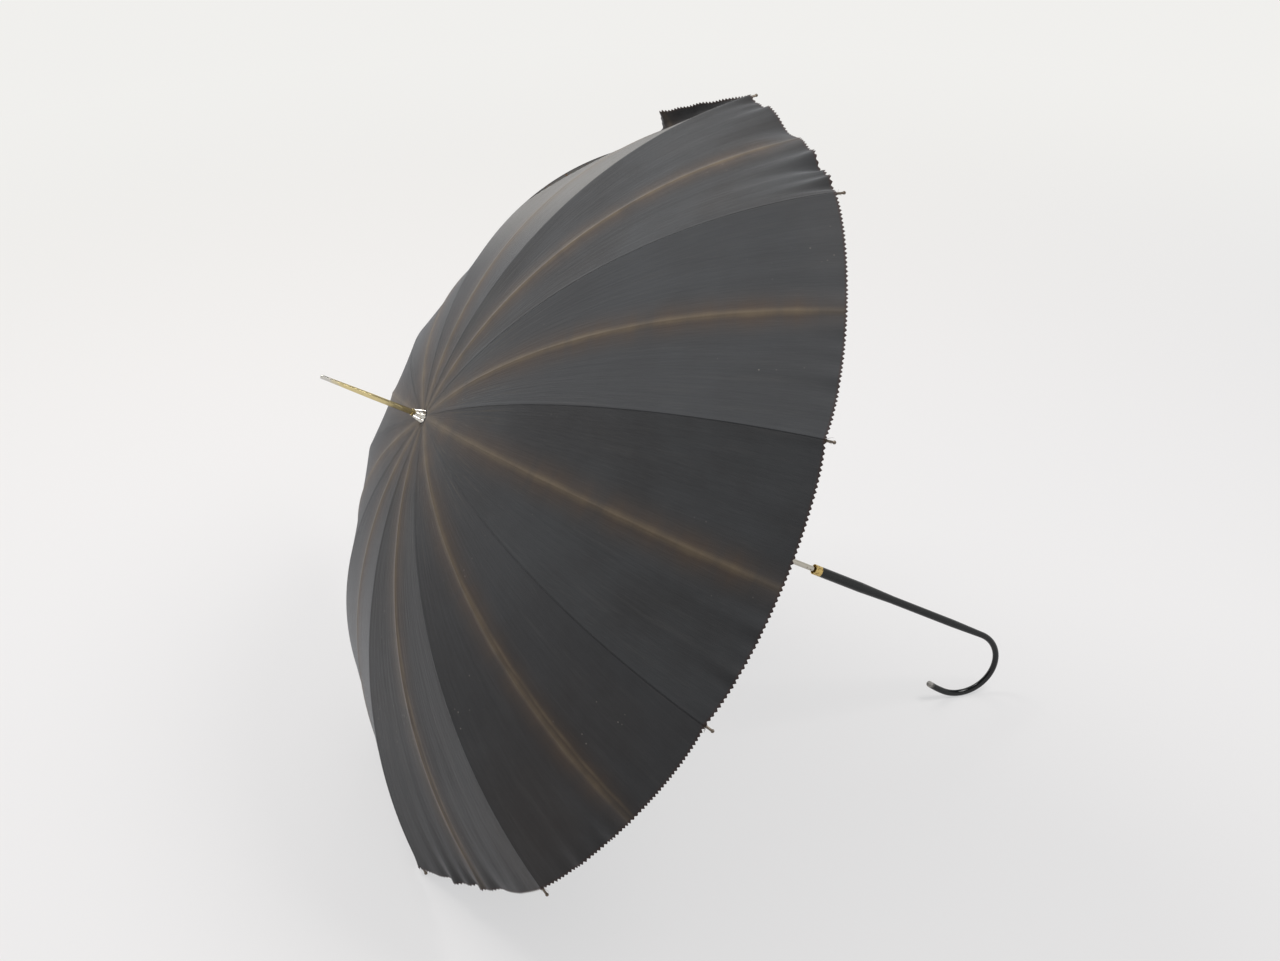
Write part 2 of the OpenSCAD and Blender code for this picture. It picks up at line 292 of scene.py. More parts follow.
def makeSpecks():
    # small flecks: the cores of a cell pattern, thinned out by a broad noise
    tree, given, made = startGroup("dustSpecks", [("Place", "vector", None), ("Scale", "value", 90.0),
                                                  ("Size", "value", 0.12), ("Spread", "value", 0.55)],
                                   [("Mask", "value")])
    cells = put(tree, "ShaderNodeTexVoronoi", {"Vector": given["Place"], "Scale": given["Scale"],
                                               "Randomness": 1.0})
    core = between(tree, cells.outputs["Distance"], given["Size"], 0.0)
    patches = noiseAt(tree, given["Place"], 14.0, 2.0)
    chosen = between(tree, patches, given["Spread"], calc(tree, "ADD", given["Spread"], 0.12))
    tree.links.new(times(tree, core, chosen), made["Mask"])
    return tree


def makeScratches():
    # fine marks: a noise stretched along one direction and cut to its crests
    tree, given, made = startGroup("fineScratches", [("Place", "vector", None),
                                                     ("Stretch", "vector", (40.0, 900.0, 900.0)),
                                                     ("Amount", "value", 0.3)],
                                   [("Mask", "value")])
    streak = noiseAt(tree, stretched(tree, given["Place"], given["Stretch"]), 1.0, 3.0, 0.6)
    crest = between(tree, streak, 0.56, 0.72)
    tree.links.new(times(tree, crest, given["Amount"]), made["Mask"])
    return tree


def makeFadeLine():
    # worn fold: a narrow bright core in a wide soft halo, uneven along its run
    tree, given, made = startGroup("fadedFold", [("Offset", "value", 0.0), ("Along", "value", 0.0),
                                                 ("Core", "value", 0.0012), ("Halo", "value", 0.014),
                                                 ("Seed", "value", 0.0)],
                                   [("Core", "value"), ("Halo", "value")])
    spot = put(tree, "ShaderNodeCombineXYZ", {0: given["Along"], 1: given["Seed"], 2: 0.0}).outputs[0]
    drift = times(tree, calc(tree, "SUBTRACT", noiseAt(tree, spot, 16.0, 2.0), 0.5), 0.005)
    away = calc(tree, "ABSOLUTE", calc(tree, "ADD", given["Offset"], drift))
    strength = between(tree, noiseAt(tree, spot, 30.0, 4.0, 0.6), 0.28, 0.66, 0.35, 1.0)
    core = between(tree, away, given["Core"], 0.0)
    halo = between(tree, away, given["Halo"], 0.0)
    tree.links.new(times(tree, calc(tree, "POWER", core, 1.2), strength), made["Core"])
    tree.links.new(times(tree, calc(tree, "POWER", halo, 1.8), strength), made["Halo"])
    return tree


weaveGroup = makeWeave()
speckGroup = makeSpecks()
scratchGroup = makeScratches()
fadeGroup = makeFadeLine()


def startMaterial(name):
    material = bpy.data.materials.new(name)
    material.use_nodes = True
    tree = material.node_tree
    return material, tree, tree.nodes["Principled BSDF"]


def objectPlace(tree):
    # where a point lies on the umbrella, in metres
    return put(tree, "ShaderNodeTexCoord").outputs["Object"]


def alongShaft(tree):
    # distance above the crown along the shaft = (place - crown) . shaft direction
    away = put(tree, "ShaderNodeVectorMath", {0: objectPlace(tree), 1: tuple(crown)},
               operation="SUBTRACT").outputs[0]
    return put(tree, "ShaderNodeVectorMath", {0: away, 1: tuple(shaftUp)},
               operation="DOT_PRODUCT").outputs["Value"]


def feedBump(tree, shader, height, strength, distance):
    # fine relief in the surface; distance is its depth in metres
    bump = put(tree, "ShaderNodeBump", {"Height": height, "Strength": strength, "Distance": distance})
    tree.links.new(bump.outputs[0], shader.inputs["Normal"])


clothLook = {
    "up": (0.0370, 0.0385, 0.0405, 1.0),        # the two tones of the black dye
    "deep": (0.0225, 0.0215, 0.0215, 1.0),
    "paintedSheen": (0.064, 0.068, 0.073, 1.0),        # painted sheen, drawn over a whole gore where light catches it
    "thread": (0.058, 0.058, 0.060, 1.0),
    "streak": (0.075, 0.073, 0.070, 1.0),
    "tan": (0.115, 0.092, 0.055, 1.0),          # streaks near the crown
    "rust": (0.124, 0.096, 0.064, 1.0),         # the worn folds, their core and what lies round it
    "brown": (0.070, 0.050, 0.037, 1.0),
    "hem": (0.050, 0.026, 0.022, 1.0),
    # painted shade along the seams at the ribs
    "seam": (0.010, 0.010, 0.011, 1.0),
    "dustAndSheenTone": (0.31, 0.285, 0.245, 1.0),
    "browned": 0.14,
    "threadPitch": 0.00055,
    "fold": {"Core": 0.0068, "Halo": 0.034, "Seed": 1.7},
    "secondFold": {"Core": 0.0034, "Halo": 0.018, "Seed": 5.2},
    "worn": 0.95,
    "specks": {"Scale": 120.0, "Size": 0.13, "Spread": 0.56},
    "scuffs": {"Stretch": (700.0, 36.0, 1.0), "Amount": 0.30},
    "roughness": 0.86,
    "specular": 0.25,
    "sheen": 0.32,
    "sheenRoughness": 0.42,
    "sheenTint": (0.88, 0.91, 0.95, 1.0),
    "bump": 0.35,
    "bumpDepth": 0.0012,
    "dustAndSheenFilm": 0.34,                               # of pale film on the torn gore: dust, and painted sheen for its bright look at a grazing angle
}


def makeCloth(name, look, dustAndSheenFilm):
    # the film is how much pale tone lies on the middle of the panel: dust, and painted sheen
    material, tree, shader = startMaterial(name)
    chart = put(tree, "ShaderNodeAttribute", attribute_name="goreChart").outputs["Vector"]
    marks = put(tree, "ShaderNodeAttribute", attribute_name="goreMarks").outputs["Vector"]
    paintedSheen = put(tree, "ShaderNodeAttribute", attribute_name="gorePaintedSheen").outputs["Fac"]
    side, along, hemAway = put(tree, "ShaderNodeSeparateXYZ", {0: chart}).outputs
    second, ribAway, across = put(tree, "ShaderNodeSeparateXYZ", {0: marks}).outputs
    place = objectPlace(tree)

    # uneven black dye, browned in patches, and whole gores drawn lighter as painted sheen
    base = blendColor(tree, between(tree, noiseAt(tree, place, 9.0, 4.0), 0.35, 0.68), look["deep"], look["up"])
    base = blendColor(tree, paintedSheen, base, look["paintedSheen"])
    browned = between(tree, noiseAt(tree, place, 5.0, 3.0), 0.48, 0.72)
    base = blendColor(tree, times(tree, browned, look["browned"]), base, look["brown"])
    weave = useGroup(tree, weaveGroup, {"Place": chart, "Thread": look["threadPitch"]})
    base = blendColor(tree, times(tree, weave["Shade"], 0.22), base, look["thread"])

    # streaks that run from the crown to the hem, closer near the crown
    fan = put(tree, "ShaderNodeCombineXYZ", {0: times(tree, across, 9.0), 1: times(tree, along, 7.0),
                                             2: 0.0}).outputs[0]
    streak = between(tree, noiseAt(tree, fan, 1.6, 5.0, 0.62), 0.52, 0.74)
    nearCrown = between(tree, along, 0.17, 0.01)
    base = blendColor(tree, times(tree, streak, nearCrown), base, look["tan"])
    base = blendColor(tree, times(tree, streak, 0.16), base, look["streak"])

    # the worn folds, weaker close to the hem
    fade = useGroup(tree, fadeGroup, {"Offset": side, "Along": along, **look["fold"]})
    other = useGroup(tree, fadeGroup, {"Offset": second, "Along": along, **look["secondFold"]})
    onRun = between(tree, hemAway, 0.004, 0.05, 0.35, 1.0)
    for label, tone in (("Halo", look["brown"]), ("Core", look["rust"])):
        mark = calc(tree, "MAXIMUM", fade[label], times(tree, other[label], 0.9))
        base = blendColor(tree, times(tree, times(tree, mark, onRun), look["worn"]), base, tone)

    # browned hem edge, and painted shade darkening the seam at the ribs
    base = blendColor(tree, between(tree, hemAway, 0.0045, 0.0008, 0.0, 0.75), base, look["hem"])
    base = blendColor(tree, between(tree, ribAway, 0.0011, 0.0003, 0.0, 0.28), base, look["seam"])

    # pale specks, scuffs that gather near the crown, and the pale film that is dust and painted sheen
    specks = useGroup(tree, speckGroup, {"Place": place, **look["specks"]})
    scuffs = useGroup(tree, scratchGroup, {"Place": chart, **look["scuffs"]})
    base = blendColor(tree, times(tree, specks["Mask"], 0.6), base, look["dustAndSheenTone"])
    scuffShare = calc(tree, "ADD", 0.06, times(tree, nearCrown, 0.25))
    base = blendColor(tree, times(tree, scuffs["Mask"], scuffShare), base, look["dustAndSheenTone"])
    if dustAndSheenFilm > 0:
        dustAndSheenMask = times(tree, between(tree, hemAway, 0.020, 0.060), between(tree, along, 0.14, 0.30))
        base = blendColor(tree, times(tree, dustAndSheenMask, dustAndSheenFilm), base, look["dustAndSheenTone"])

    tree.links.new(base, shader.inputs["Base Color"])
    shader.inputs["Roughness"].default_value = look["roughness"]
    shader.inputs["Sheen Weight"].default_value = look["sheen"]
    shader.inputs["Sheen Roughness"].default_value = look["sheenRoughness"]
    shader.inputs["Sheen Tint"].default_value = look["sheenTint"]
    shader.inputs["Specular IOR Level"].default_value = look["specular"]
    ripple = times(tree, noiseAt(tree, fan, 2.4, 4.0), 0.9)
    feedBump(tree, shader, calc(tree, "ADD", times(tree, weave["Height"], 0.10), ripple),
             look["bump"], look["bumpDepth"])
    return material


clothMaterial = makeCloth("blackCloth", clothLook, 0.0)
# the torn gore's cloth carries the pale film of dust and painted sheen
dustAndSheenCloth = makeCloth("dustAndSheenBlackCloth", clothLook, clothLook["dustAndSheenFilm"])


# how each gore hangs: number, height and reach of the hem's waves, bow of the hem, shift of the waves,
# how far a second fold lies aside of the first at the hem, and how much painted sheen lightens the whole gore
gores = {
    1: {"waves": 3.2, "height": 0.0024, "reach": 0.016, "bow": 0.0122, "shift": 0.4, "second": 0.0070, "paintedSheen": 0.05},
    2: {"waves": 3.4, "height": 0.0016, "reach": 0.016, "bow": 0.0135, "shift": 1.3, "second": 0.0060, "paintedSheen": 0.22},
    3: {"waves": 4.1, "height": 0.0016, "reach": 0.016, "bow": 0.0155, "shift": 2.1, "second": None, "paintedSheen": 0.22},
    4: {"waves": 3.2, "height": 0.0012, "reach": 0.018, "bow": 0.0142, "shift": 0.9, "second": None, "paintedSheen": 0.50},
    5: {"waves": 3.6, "height": 0.0064, "reach": 0.018, "bow": 0.0100, "shift": 2.9, "second": None, "paintedSheen": 0.0},
    6: {"waves": 3.0, "height": 0.0004, "reach": 0.020, "bow": 0.0030, "shift": 0.2, "second": None, "paintedSheen": 0.05},
    7: {"waves": 4.4, "height": 0.0030, "reach": 0.018, "bow": 0.0110, "shift": 1.7, "second": 0.0060, "paintedSheen": 0.1},
    8: {"waves": 3.8, "height": 0.0025, "reach": 0.018, "bow": 0.0120, "shift": 2.6, "second": None, "paintedSheen": 0.0},
    9: {"waves": 4.6, "height": 0.0040, "reach": 0.014, "bow": 0.0120, "shift": 0.6, "second": None, "paintedSheen": 0.0},
    10: {"waves": 4.6, "height": 0.0068, "reach": 0.013, "bow": 0.0190, "shift": 0.4, "second": -0.0100, "paintedSheen": 0.1},
}
tear = {
    "gore": 6,
    "run": 0.150,           # of seam that is off the rib, from the hem
    "creaseAtHem": 0.007,   # where the tucked corner's crease meets the hem, from the gore's middle
    "turnedUp": 0.0165,     # of hem at that crease, from nothing at the other rib
    "turnUp": 107.0,        # degrees by which the hem stands up
    "bendRadius": 0.0030,
    "tuckGap": 0.0016,      # between the gore and its tucked corner
    "tuckRound": 0.0010,    # way from the crease in which that gap opens
    "tuckSpread": 0.10,     # by how much it widens from there on
}


def stripFrame(k):
    # out through the middle of gore k = rib k turned by half a pitch, and the direction across it
    outward, sideways = ribAxes(k)
    return (outward * math.cos(halfPitch) + sideways * math.sin(halfPitch),
            sideways * math.cos(halfPitch) - outward * math.sin(halfPitch))


drape = {
    "ripple": 0.00035,      # height, then how far it reaches in from the hem
    "rippleReach": 0.09,
    "fold": 0.0007,         # height and half width of the pressed fold in the middle
    "foldHalf": 0.0035,
    "sag": 0.0016,
    "sagClear": 0.03,       # the fold holds the sag off this far aside
    "seam": 0.00015,        # height, width and slope of the seam's ridge on the first rib
    "seamWidth": 0.0022,
    "seamSlope": 0.0012,
    "hemCrowding": 0.10,    # by how much the rows crowd towards the hem
    "bowFrom": 0.80,        # share of the gore's length where its bow begins
}
plainCell = (30, 10)        # row and column of a cell that no tear or wave reaches


def clothLifts(spec, aside, halfWidth, hemAway, v):
    # height over the plain strip = hem waves + ripples + pressed fold + sag + seam ridge
    u = np.clip(aside / halfWidth, -1, 1)
    arch = np.clip(1 - u ** 2, 0, 1)
    near = np.exp(-np.clip(hemAway, 0, None) / spec["reach"])
    phase = spec["waves"] * np.pi * (u + 0.16 * np.sin(3.1 * u + spec["shift"])) + spec["shift"]
    wave = np.sin(phase + 0.7 * np.sin(phase)) + 0.35 * np.sin(2.3 * phase + 1.0)
    waves = spec["height"] * near * wave * arch ** 0.45
    ripple = (drape["ripple"] * np.sin(23 * u + 2 * spec["shift"] + 5 * v)
              * np.exp(-np.clip(hemAway, 0, None) / drape["rippleReach"]) * arch)
    fold = drape["fold"] * np.exp(-(np.abs(aside) / drape["foldHalf"])) * np.clip(v * 6, 0, 1)
    sag = drape["sag"] * arch ** 1.5 * np.sin(np.pi * v) * (1 - np.exp(-np.abs(aside) / drape["sagClear"]))
    offRidge = np.clip((aside + halfWidth - drape["seamWidth"]) / drape["seamSlope"], 0, 1)
    seam = drape["seam"] * (1 - offRidge) * np.clip(v * 12, 0, 1)
    return waves + ripple + fold - sag + seam


def goreSurface(k, spec):
    # point(u, v) = arc strip that is flat across, raised along its normal by clothLifts
    torn = k == tear["gore"]
    down = np.linspace(0, 1, canopy["rows"])
    down = down + drape["hemCrowding"] * np.sin(np.pi * down) * down
    down = np.append(down / down[-1], 1.0)      # one more row for the teeth
    u, v = np.meshgrid(np.linspace(-1, 1, canopy["columns"] + 1), down)
    arch = np.clip(1 - u ** 2, 0, 1)
    bow = spec["bow"] * arch ** 0.8 * np.clip((v - drape["bowFrom"]) / (1 - drape["bowFrom"]), 0, 1) ** 2
    teeth = np.abs(((u + 1) * rimHalf / canopy["toothPitch"]) % 1 - 0.5) * 2
    bow[-1] += canopy["toothDepth"] * (1 - teeth[-1])
    turn = holeTurn + (hemTurn - holeTurn) * v + bow / arcRadius
    hemAway = (hemTurn - turn) * arcRadius
    halfWidth = (arcOut + arcRadius * np.sin(turn)) * math.sin(halfPitch)
    aside = halfWidth * u
    toHem = hemAway + spec["bow"] * arch ** 0.8 + canopy["toothDepth"]
    marks = np.stack([secondFold(spec, aside, v), halfWidth - np.abs(aside), u], axis=-1)
    chart = np.stack([aside, (turn - holeTurn) * arcRadius, toHem], axis=-1)

    if torn:
        aside, turn, past = tuckCorner(aside, turn)
        hemAway = (hemTurn - turn) * arcRadius
        halfWidth = (arcOut + arcRadius * np.sin(turn)) * math.sin(halfPitch)
    middle, chord = stripFrame(k)
    flat = math.cos(halfPitch)
    points = placed(middle, chord, (arcOut + arcRadius * np.sin(turn)) * flat, aside,
                    arcDown + arcRadius * np.cos(turn))
    # the strip's own normal: its profile is (R sin a cos h, R cos a)
    size = np.hypot(np.sin(turn), flat * np.cos(turn))
    steep, level = np.sin(turn) / size, flat * np.cos(turn) / size
    normal = np.multiply.outer(steep, middle) + np.multiply.outer(level, shaftUp)
    tangent = np.multiply.outer(level, middle) - np.multiply.outer(steep, shaftUp)
    points = points + normal * clothLifts(spec, aside, halfWidth, hemAway if torn else toHem, v)[..., None]
    if torn:
        points, inward = turnHemUp(points, normal, tangent, aside, hemAway)
        offset = tear["tuckGap"] * (1 - np.exp(-past / tear["tuckRound"])) + tear["tuckSpread"] * past
        points = points + inward * offset[..., None]
    normal = gridNormals(points, normal[plainCell])
    inner = points + normal * canopy["clothLift"]
    return inner + normal * canopy["clothThick"], inner, chart, marks


def secondFold(spec, aside, v):
    # distance from a second worn line that leaves the middle fold on its way to the hem
    if spec["second"] is None:
        return np.full_like(aside, 1.0)
    return aside - spec["second"] * np.clip((v - 0.35) / 0.35, 0, 1)


def gridNormals(points, facing):
    # cross product of the two grid directions, all turned to the side that one cell faces
    normal = np.cross(np.gradient(points, axis=0), np.gradient(points, axis=1))
    size = np.linalg.norm(normal, axis=-1, keepdims=True)
    normal = normal / np.where(size < 1e-12, 1, size)
    return normal * np.sign(np.dot(normal[plainCell], facing))


def tuckCorner(aside, turn):
    # what lies past the crease is mirrored across it, in the flat pattern of (aside, way to the hem)
    away = (hemTurn - turn) * arcRadius
    seamTurn = hemTurn - tear["run"] / arcRadius
    seamHalf = (arcOut + arcRadius * math.sin(seamTurn)) * math.sin(halfPitch)
    start, end = np.array([tear["creaseAtHem"], 0.0]), np.array([seamHalf, tear["run"]])
    square = np.array([end[1] - start[1], start[0] - end[0]]) / np.linalg.norm(end - start)
    past = np.clip((aside - start[0]) * square[0] + (away - start[1]) * square[1], 0, None)
    return aside - 2 * past * square[0], turn + 2 * past * square[1] / arcRadius, past


def turnHemUp(points, normal, tangent, aside, hemAway):
    # the hem's strip bends up about a line from the other rib's tip to the crease
    width = tear["turnedUp"] * np.clip((aside + rimHalf) / (tear["creaseAtHem"] + rimHalf), 0, None)
    over = np.clip(width - hemAway, 0, None) * (width > 0)
    bend = np.minimum(over / tear["bendRadius"], math.radians(tear["turnUp"]))
    straight = over - bend * tear["bendRadius"]
    ahead = tear["bendRadius"] * np.sin(bend) + straight * np.cos(bend)
    upward = tear["bendRadius"] * (1 - np.cos(bend)) + straight * np.sin(bend)
    moved = points + tangent * (ahead - over)[..., None] + normal * upward[..., None]
    inward = tangent * np.sin(bend)[..., None] - normal * np.cos(bend)[..., None]
    return moved, inward


def addChart(mesh, name, values):
    # the same three values for a point of the outer face and the one under it
    layer = mesh.attributes.new(name, "FLOAT_VECTOR", "POINT")
    both = np.concatenate([values.reshape(-1, 3)] * 2)
    layer.data.foreach_set("vector", both.astype(np.float32).ravel())


def makeGore(k, spec):
    # one closed sheet; chart = (aside, way from the hole, way to the hem), marks = (second fold, rib, u)
    outer, inner, chart, marks = goreSurface(k, spec)
    points, faces = shellFrom(outer, inner)
    piece = meshObject(f"goreCloth_{k}", points, faces, f"rib_{k}",
                       dustAndSheenCloth if k == tear["gore"] else clothMaterial)
    addChart(piece.data, "goreChart", chart)
    addChart(piece.data, "goreMarks", marks)
    # painted sheen: how much lighter the whole gore is drawn
    paintedSheen = piece.data.attributes.new("gorePaintedSheen", "FLOAT", "POINT")
    paintedSheen.data.foreach_set("value", np.full(len(points), spec["paintedSheen"], np.float32))
    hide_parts(f"gore_{k}")
    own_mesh(piece)


for number, spec in gores.items():
    makeGore(number, spec)
print("canopy cloth made")


# threads that tie the cloth to the tips
threadLook = {
    "radius": 0.00022,
    "turns": 4,
    "wrap": 0.00145,        # radius of the turns round the tip's neck
    "run": 0.0022,
    "fromHem": 0.0006,
    "tails": 3,
    "tailRadius": 0.00013,
    "dark": (0.022, 0.015, 0.012, 1.0),
    "light": (0.085, 0.055, 0.038, 1.0),
    "roughness": 0.8,
}


def makeThreadMaterial():
    # brown thread, mottled by a fine noise
    material, tree, shader = startMaterial("brownThread")
    twist = noiseAt(tree, objectPlace(tree), 900.0, 2.0)
    tree.links.new(blendColor(tree, twist, threadLook["dark"], threadLook["light"]), shader.inputs["Base Color"])
    shader.inputs["Roughness"].default_value = threadLook["roughness"]
    feedBump(tree, shader, twist, 0.3, 0.0002)
    return material


threadMaterial = makeThreadMaterial()


def makeTipThread(k):
    # helix round the tip's neck at the hem, with loose ends: tail(t) = start + run * (t aim + t^2 curl)
    outward, sideways = ribAxes(k)
    tangent = outward * math.cos(endTurn) - shaftUp * math.sin(endTurn)
    normal = outward * math.sin(endTurn) + shaftUp * math.cos(endTurn)
    end = placed(outward, sideways, arcOut + ribArc * math.sin(endTurn), 0.0,
                 arcDown + ribArc * math.cos(endTurn))
    start = end - tangent * (canopy["tipRun"] - threadLook["fromHem"])
    angle = np.linspace(0, 2 * np.pi * threadLook["turns"], 16 * threadLook["turns"])
    helix = (start + np.multiply.outer(np.linspace(0, threadLook["run"], len(angle)), tangent)
             + np.multiply.outer(threadLook["wrap"] * np.cos(angle), sideways)
             + np.multiply.outer(threadLook["wrap"] * np.sin(angle), normal))
    parts = [sweptTube(helix, threadLook["radius"], 6)]
    t = np.linspace(0, 1, 12)
    for tailNumber in range(threadLook["tails"]):
        aim = (tangent * randomDraw.uniform(0.1, 0.8) + sideways * randomDraw.uniform(-1, 1)
               + normal * randomDraw.uniform(-0.2, 0.5))
        curl = np.cross(aim, normal) * randomDraw.uniform(-0.9, 0.9)
        run = randomDraw.uniform(0.004, 0.008)
        tail = helix[-1 - 9 * tailNumber] + run * (np.multiply.outer(t, aim) + np.multiply.outer(t ** 2, curl))
        parts.append(sweptTube(tail, threadLook["tailRadius"] * (1.2 - 0.7 * t), 5))
    points, faces = joined(parts)
    meshObject(f"tipThread_{k}", points, faces, f"rib_{k}", threadMaterial)


for number in range(1, canopy["ribCount"] + 1):
    makeTipThread(number)
print("tip threads made")


brownRust = (0.16, 0.085, 0.045, 1.0)
metals = {      # node, then the metal, the stains on it, their share of the surface and their size (per metre)
    "shaft_tube": {"name": "shaftSteel", "color": (0.50, 0.47, 0.41, 1.0), "roughness": 0.12,
                   "stain": (0.30, 0.26, 0.21, 1.0), "share": 0.46, "stainRough": 0.25, "scale": 260.0},
    "notch_cup": {"name": "cupPlate", "color": (0.72, 0.70, 0.65, 1.0), "roughness": 0.14,
                  "stain": (0.22, 0.17, 0.12, 1.0), "share": 0.52, "stainRough": 0.25, "scale": 420.0},
    "notch": {"name": "notchMetal", "color": (0.50, 0.48, 0.44, 1.0), "roughness": 0.34,
              "stain": brownRust, "share": 0.44, "stainRough": 0.3, "scale": 260.0},
    "notch_wire": {"name": "ringWire", "color": (0.52, 0.43, 0.26, 1.0), "roughness": 0.34,
                   "stain": brownRust, "share": 0.42, "stainRough": 0.3, "scale": 260.0},
    "runner": {"name": "runnerMetal", "color": (0.62, 0.61, 0.58, 1.0), "roughness": 0.26,
               "stain": (0.25, 0.19, 0.14, 1.0), "share": 0.45, "stainRough": 0.28, "scale": 260.0},
    "top_catch": {"name": "catchSteel", "color": (0.58, 0.57, 0.55, 1.0), "roughness": 0.3,
                  "stain": brownRust, "share": 0.42, "stainRough": 0.3, "scale": 260.0},
    "collar": {"name": "collarBrass", "color": (0.60, 0.44, 0.17, 1.0), "roughness": 0.16,
               "stain": (0.22, 0.13, 0.05, 1.0), "share": 0.52, "stainRough": 0.22, "scale": 480.0},
    "rib_1": {"name": "ribSteel", "color": (0.15, 0.145, 0.14, 1.0), "roughness": 0.38,
              "stain": brownRust, "share": 0.50, "stainRough": 0.3, "scale": 260.0},
    "tip_1": {"name": "tipMetal", "color": (0.17, 0.145, 0.12, 1.0), "roughness": 0.38,
              "stain": brownRust, "share": 0.46, "stainRough": 0.3, "scale": 600.0},
    "rivet_1": {"name": "rivetMetal", "color": (0.55, 0.52, 0.46, 1.0), "roughness": 0.34,
                "stain": brownRust, "share": 0.46, "stainRough": 0.3, "scale": 260.0},
    "stretcher_1": {"name": "stretcherSteel", "color": (0.20, 0.195, 0.19, 1.0), "roughness": 0.36,
                    "stain": brownRust, "share": 0.48, "stainRough": 0.3, "scale": 260.0},
}
drawnMarks = {"Stretch": (150.0, 2600.0, 2600.0), "Amount": 0.5}


def makeMetal(look):
    # plated or plain metal: stains in patches, fine drawn marks along the shaft
    material, tree, shader = startMaterial(look["name"])
    place = objectPlace(tree)
    patches = between(tree, noiseAt(tree, place, look["scale"], 5.0, 0.62),
                      1.02 - look["share"], 1.14 - look["share"])
    marks = useGroup(tree, scratchGroup, {"Place": place, **drawnMarks})
    tree.links.new(blendColor(tree, patches, look["color"], look["stain"]), shader.inputs["Base Color"])
    rough = calc(tree, "ADD", look["roughness"], times(tree, patches, look["stainRough"]), clamp=True)
    tree.links.new(calc(tree, "ADD", rough, times(tree, marks["Mask"], 0.12), clamp=True),
                   shader.inputs["Roughness"])
    shader.inputs["Metallic"].default_value = 1.0
    feedBump(tree, shader, calc(tree, "ADD", patches, marks["Mask"]), 0.12, 0.0002)
    return material


ferruleLook = {
    "brass": (0.72, 0.60, 0.32, 1.0),
    "fleck": (0.36, 0.29, 0.15, 1.0),
    "bare": (0.62, 0.60, 0.56, 1.0),
    "wornFrom": (0.100, 0.116),     # metres above the crown
}


def makeFerrule(look):
    # brass that is worn through to pale metal towards its end
    material, tree, shader = startMaterial("wornBrass")
    place = objectPlace(tree)
    height = alongShaft(tree)
    rough = noiseAt(tree, stretched(tree, place, (160.0, 260.0, 160.0)), 1.0, 4.0, 0.6)
    worn = between(tree, calc(tree, "ADD", height, times(tree, rough, 0.030)), *look["wornFrom"])
    flecks = between(tree, noiseAt(tree, place, 520.0, 4.0), 0.64, 0.76)
    brass = blendColor(tree, flecks, look["brass"], look["fleck"])
    tree.links.new(blendColor(tree, worn, brass, look["bare"]), shader.inputs["Base Color"])
    tree.links.new(between(tree, rough, 0.2, 0.8, 0.10, 0.24), shader.inputs["Roughness"])
    shader.inputs["Metallic"].default_value = 1.0
    feedBump(tree, shader, calc(tree, "ADD", flecks, worn), 0.10, 0.0002)
    return material


# the crook: half a turn, then a slacker bend; its end is worn
crookShape = {"from": 0.676, "bend": 0.038, "endBend": 0.110, "endTurn": 11.0}
lowOut, lowSide = ribAxes(1)
downward = lowOut * math.cos(halfPitch) - lowSide * math.sin(halfPitch)
crookTurn = math.radians(crookShape["endTurn"])
crookEnd = (crown + downward * (2 * crookShape["bend"] - crookShape["endBend"] * (1 - math.cos(crookTurn)))
            - shaftUp * (crookShape["from"] - crookShape["endBend"] * math.sin(crookTurn)))

handleLook = {
    "black": (0.0060, 0.0075, 0.0085, 1.0),
    "grimy": (0.014, 0.0155, 0.0165, 1.0),
    "scratch": (0.10, 0.10, 0.10, 1.0),
    "bare": (0.34, 0.33, 0.31, 1.0),
    "bareReach": (0.0105, 0.0065),      # metres from the crook's end
    "scuffs": {"Stretch": (90.0, 1400.0, 1400.0), "Amount": 1.0},
    "specular": 0.36,
}


def makeHandle(look):
    # glossy black moulding, scuffed, with a pale worn patch at the crook's end
    material, tree, shader = startMaterial("blackHandle")
    place = objectPlace(tree)
    away = put(tree, "ShaderNodeVectorMath", {0: place, 1: tuple(crookEnd)}, operation="DISTANCE").outputs["Value"]
    grime = noiseAt(tree, place, 210.0, 5.0, 0.6)
    bare = between(tree, calc(tree, "ADD", away, times(tree, grime, 0.008)), *look["bareReach"])
    scuffs = useGroup(tree, scratchGroup, {"Place": place, **look["scuffs"]})
    black = blendColor(tree, grime, look["black"], look["grimy"])
    black = blendColor(tree, times(tree, scuffs["Mask"], 0.20), black, look["scratch"])
    tree.links.new(blendColor(tree, bare, black, look["bare"]), shader.inputs["Base Color"])
    gloss = calc(tree, "ADD", between(tree, grime, 0.3, 0.75, 0.09, 0.20), times(tree, bare, 0.35))
    tree.links.new(gloss, shader.inputs["Roughness"])
    shader.inputs["Specular IOR Level"].default_value = look["specular"]
    feedBump(tree, shader, calc(tree, "ADD", scuffs["Mask"], grime), 0.06, 0.0002)
    return material


# each node takes its own finish, or the one of the first of its kind
finishes = {node: makeMetal(look) for node, look in metals.items()}
finishes["ferrule"] = makeFerrule(ferruleLook)
finishes["handle"] = makeHandle(handleLook)
finishes["hand_catch"] = finishes["top_catch"]
for name, node in nodes.items():
    family = name if name in finishes else name.rsplit("_", 1)[0] + "_1"
    if family in finishes:
        node.data.materials.clear()
        node.data.materials.append(finishes[family])
print("finishes set")


# binding wire of the runner's crown
wireShape = {"ring": 0.0080, "radius": 0.0006, "steps": 96, "sides": 8}


